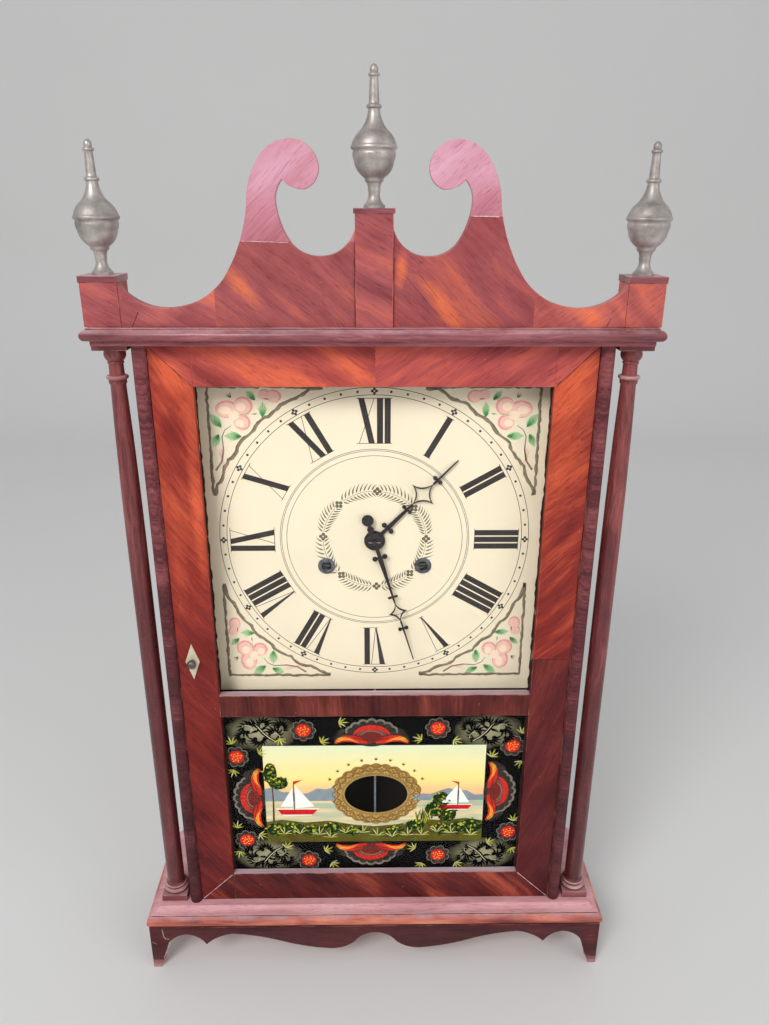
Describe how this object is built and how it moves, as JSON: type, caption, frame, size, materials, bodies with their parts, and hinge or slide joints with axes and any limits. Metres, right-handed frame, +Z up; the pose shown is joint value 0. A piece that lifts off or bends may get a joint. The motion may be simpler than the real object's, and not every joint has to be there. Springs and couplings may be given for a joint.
{
  "type": "pillar and scroll clock",
  "caption": "Shelf clock in a veneered case: turned columns, scrolled crest with urn finials, glazed door with an oval window, painted dial, pendulum and weight-driven wooden movement.",
  "frame": {"origin": "on the floor under the middle of the base's outer box", "axes": "+Z up, the dial faces -Y, +X to the right as seen from the front"},
  "size_m": [0.44, 0.114, 0.7894],
  "materials": {
    "mahogany_veneer": "shellac over crotch mahogany, worn at the edges",
    "mahogany_turned": "dark shellac on turned wood",
    "pine": "bare aged pine",
    "oak_plate": "bare oak",
    "cherry_wheel": "bare cherry",
    "aged_brass": "dull aged brass",
    "dial_paint": "cream paint on wood",
    "dark_steel": "blackened iron",
    "bright_wire": "worn steel wire",
    "cast_iron": "rough cast iron",
    "clear_glass": "thin old window glass",
    "painted_glass": "reverse-painted glass",
    "bone": "polished bone"
  },
  "bodies": {
    "case": {"base_apron": "mahogany_veneer", "base_left_side": "mahogany_veneer", "base_right_side": "mahogany_veneer", "base_bead_board": "mahogany_veneer", "base_top_board": "mahogany_veneer", "base_glue_blocks": "pine", "case_left_side": "mahogany_veneer", "case_right_side": "mahogany_veneer", "case_backboard": "pine", "case_front_strips": "mahogany_veneer", "left_column": "mahogany_turned", "right_column": "mahogany_turned", "column_plinths": "mahogany_veneer", "column_abaci": "mahogany_veneer", "cornice_soffit_board": "mahogany_veneer", "cornice_bead_board": "mahogany_veneer", "crest_board": "mahogany_veneer", "crest_dies": "mahogany_veneer", "crest_caps": "mahogany_veneer", "side_finials": "aged_brass", "centre_finial": "aged_brass", "dial_board": "dial_paint", "winding_grommets": "dark_steel", "door_hinge_pins": "bright_wire", "movement_front_plate": "oak_plate", "movement_back_plate": "oak_plate", "movement_pillars": "oak_plate", "mounting_rails": "pine", "movement_studs": "bright_wire", "bell": "aged_brass", "bell_stand": "bright_wire", "pulley_brackets": "cast_iron"},
    "door": {"door_left_stile": "mahogany_veneer", "door_right_stile": "mahogany_veneer", "door_rails": "mahogany_veneer", "dial_glass": "clear_glass", "tablet_glass": "painted_glass", "door_escutcheon": "bone"},
    "door_knob": {"door_knob": "bright_wire"},
    "centre_arbor": {"centre_wheel": "cherry_wheel", "minute_hand": "dark_steel"},
    "hour_pipe": {"hour_wheel": "cherry_wheel", "hour_hand": "dark_steel"},
    "minute_wheel": {"minute_wheel": "cherry_wheel"},
    "time_great_wheel": {"time_great_wheel": "cherry_wheel"},
    "third_wheel": {"third_wheel": "cherry_wheel"},
    "escape_wheel": {"escape_wheel": "aged_brass"},
    "verge": {"verge": "bright_wire"},
    "pendulum": {"pendulum": "aged_brass"},
    "time_drum": {"time_drum": "oak_plate"},
    "time_pulley": {"time_pulley": "aged_brass"},
    "time_weight": {"time_weight": "cast_iron"},
    "strike_great_wheel": {"strike_great_wheel": "cherry_wheel"},
    "strike_pin_wheel": {"strike_pin_wheel": "cherry_wheel"},
    "count_wheel": {"count_wheel": "cherry_wheel"},
    "fly": {"fly": "cherry_wheel"},
    "hammer": {"hammer": "bright_wire"},
    "strike_drum": {"strike_drum": "oak_plate"},
    "strike_pulley": {"strike_pulley": "aged_brass"},
    "strike_weight": {"strike_weight": "cast_iron"}
  },
  "joints": [
    {"name": "door_hinge", "type": "hinge", "parent": "case", "child": "door", "pos_m": [0.1655, -0.0372, 0.3], "axis": [0, 0, 1], "range_deg": [0, 110]},
    {"name": "latch_turn", "type": "hinge", "parent": "door", "child": "door_knob", "pos_m": [-0.156, -0.03, 0.3375], "axis": [0, 1, 0], "range_deg": [-90, 0]},
    {"name": "minute_hand_turn", "type": "hinge", "parent": "case", "child": "centre_arbor", "pos_m": [0, 0.02, 0.4393], "axis": [0, 1, 0], "continuous": true},
    {"name": "hour_hand_turn", "type": "hinge", "parent": "case", "child": "hour_pipe", "pos_m": [0, 0.02, 0.4393], "axis": [0, 1, 0], "continuous": true},
    {"name": "minute_wheel_turn", "type": "hinge", "parent": "case", "child": "minute_wheel", "pos_m": [0.0192, 0.02, 0.4393], "axis": [0, 1, 0], "continuous": true},
    {"name": "time_great_wheel_turn", "type": "hinge", "parent": "case", "child": "time_great_wheel", "pos_m": [0.0411, 0.02, 0.4153], "axis": [0, 1, 0], "continuous": true},
    {"name": "third_wheel_turn", "type": "hinge", "parent": "case", "child": "third_wheel", "pos_m": [0.00797, 0.02, 0.47029], "axis": [0, 1, 0], "continuous": true},
    {"name": "escape_wheel_turn", "type": "hinge", "parent": "case", "child": "escape_wheel", "pos_m": [0, 0.02, 0.4963], "axis": [0, 1, 0], "continuous": true},
    {"name": "pendulum_swing", "type": "hinge", "parent": "case", "child": "pendulum", "pos_m": [0, 0.003, 0.477], "axis": [0, 1, 0], "range_deg": [-3.5, 3.5]},
    {"name": "verge_swing", "type": "hinge", "parent": "case", "child": "verge", "pos_m": [0, 0, 0.477], "axis": [0, 1, 0], "range_deg": [-3.6, 3.6]},
    {"name": "time_weight_run", "type": "slide", "parent": "case", "child": "time_weight", "axis": [0, 0, 1], "range_m": [0, 0.26]},
    {"name": "time_drum_turn", "type": "hinge", "parent": "case", "child": "time_drum", "pos_m": [0.0411, 0.02, 0.4153], "axis": [0, 1, 0], "range_deg": [-1110, 1110]},
    {"name": "time_pulley_turn", "type": "hinge", "parent": "case", "child": "time_pulley", "pos_m": [0.123, 0.016, 0.5854], "axis": [0, 1, 0], "range_deg": [-1300, 1300]},
    {"name": "strike_weight_run", "type": "slide", "parent": "case", "child": "strike_weight", "axis": [0, 0, 1], "range_m": [0, 0.26]},
    {"name": "strike_drum_turn", "type": "hinge", "parent": "case", "child": "strike_drum", "pos_m": [-0.0411, 0.02, 0.4153], "axis": [0, 1, 0], "range_deg": [-1110, 1110]},
    {"name": "strike_pulley_turn", "type": "hinge", "parent": "case", "child": "strike_pulley", "pos_m": [-0.123, 0.016, 0.5854], "axis": [0, 1, 0], "range_deg": [-1300, 1300]},
    {"name": "strike_great_wheel_turn", "type": "hinge", "parent": "case", "child": "strike_great_wheel", "pos_m": [-0.0411, 0.02, 0.4153], "axis": [0, 1, 0], "continuous": true},
    {"name": "strike_pin_wheel_turn", "type": "hinge", "parent": "case", "child": "strike_pin_wheel", "pos_m": [-0.06344, 0.02, 0.45732], "axis": [0, 1, 0], "continuous": true},
    {"name": "count_wheel_turn", "type": "hinge", "parent": "case", "child": "count_wheel", "pos_m": [-0.08546, 0.02, 0.4368], "axis": [0, 1, 0], "continuous": true},
    {"name": "fly_turn", "type": "hinge", "parent": "case", "child": "fly", "pos_m": [-0.04441, 0.02, 0.47676], "axis": [0, 1, 0], "continuous": true},
    {"name": "hammer_swing", "type": "hinge", "parent": "case", "child": "hammer", "pos_m": [-0.08404, 0.02, 0.49002], "axis": [0, 1, 0], "range_deg": [-18, 0]}
  ],
  "couplings": [
    {"joint": "hour_hand_turn", "follows": "minute_hand_turn", "ratio": 0.083333},
    {"joint": "minute_wheel_turn", "follows": "minute_hand_turn", "ratio": -0.33333},
    {"joint": "time_great_wheel_turn", "follows": "minute_hand_turn", "ratio": -0.1},
    {"joint": "third_wheel_turn", "follows": "minute_hand_turn", "ratio": -9},
    {"joint": "escape_wheel_turn", "follows": "minute_hand_turn", "ratio": 67.5},
    {"joint": "verge_swing", "follows": "pendulum_swing", "ratio": 1},
    {"joint": "time_drum_turn", "follows": "time_weight_run", "rad_per_m": -71.429},
    {"joint": "time_pulley_turn", "follows": "time_weight_run", "rad_per_m": -83.333},
    {"joint": "strike_drum_turn", "follows": "strike_weight_run", "rad_per_m": 71.429},
    {"joint": "strike_pulley_turn", "follows": "strike_weight_run", "rad_per_m": 83.333},
    {"joint": "strike_pin_wheel_turn", "follows": "strike_great_wheel_turn", "ratio": -10},
    {"joint": "fly_turn", "follows": "strike_great_wheel_turn", "ratio": 75},
    {"joint": "count_wheel_turn", "follows": "strike_great_wheel_turn", "ratio": 1.0256}
  ]
}
